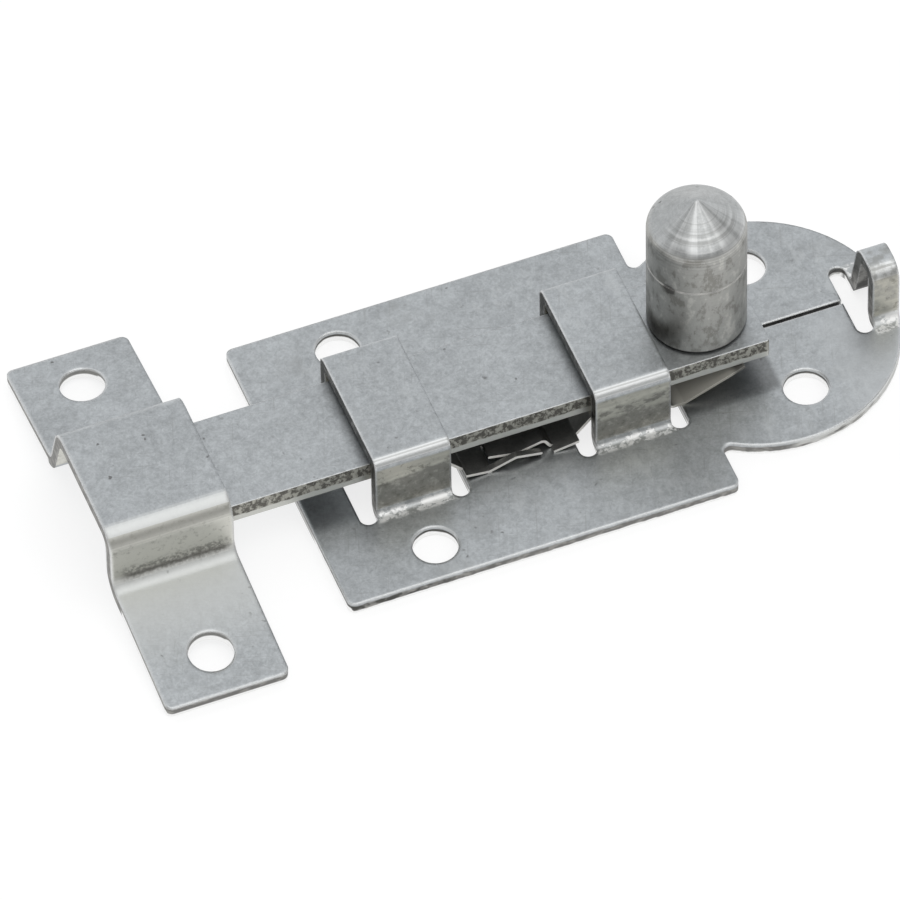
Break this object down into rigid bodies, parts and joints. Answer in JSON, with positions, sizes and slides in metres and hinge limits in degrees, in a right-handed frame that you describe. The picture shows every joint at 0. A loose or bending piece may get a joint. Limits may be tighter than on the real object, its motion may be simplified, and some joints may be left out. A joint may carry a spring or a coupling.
{
  "type": "slide bolt",
  "caption": "Flat slide bolt for a door or gate: stamped plate with raised straps, sliding flat bar with a turned knob, leaf friction spring and a separate strap keeper.",
  "frame": {"origin": "middle of the left pair of screw holes, on the back of the plate, which lies on the door face", "axes": "+X along the bar from the keeper towards the knob, +Z out of the door face, +Y across the plate"},
  "size_m": [0.1074, 0.058, 0.0311],
  "materials": {
    "plate_steel": "bright tumbled steel sheet, mottled",
    "keeper_steel": "bright tumbled steel sheet, lightly scratched",
    "bar_steel": "tumbled steel bar with sheared edges",
    "turned_steel": "turned steel with a satin side and a bright cone",
    "spring_steel": "thin spring steel, dull grey"
  },
  "bodies": {
    "root": {"back_plate": "plate_steel", "keeper": "keeper_steel", "friction_spring": "spring_steel"},
    "bolt": {"bolt_bar": "bar_steel", "knob": "turned_steel"}
  },
  "joints": [
    {"name": "bolt_slide", "type": "slide", "parent": "root", "child": "bolt", "axis": [1, 0, 0], "range_m": [-0.0007, 0.0149]}
  ]
}
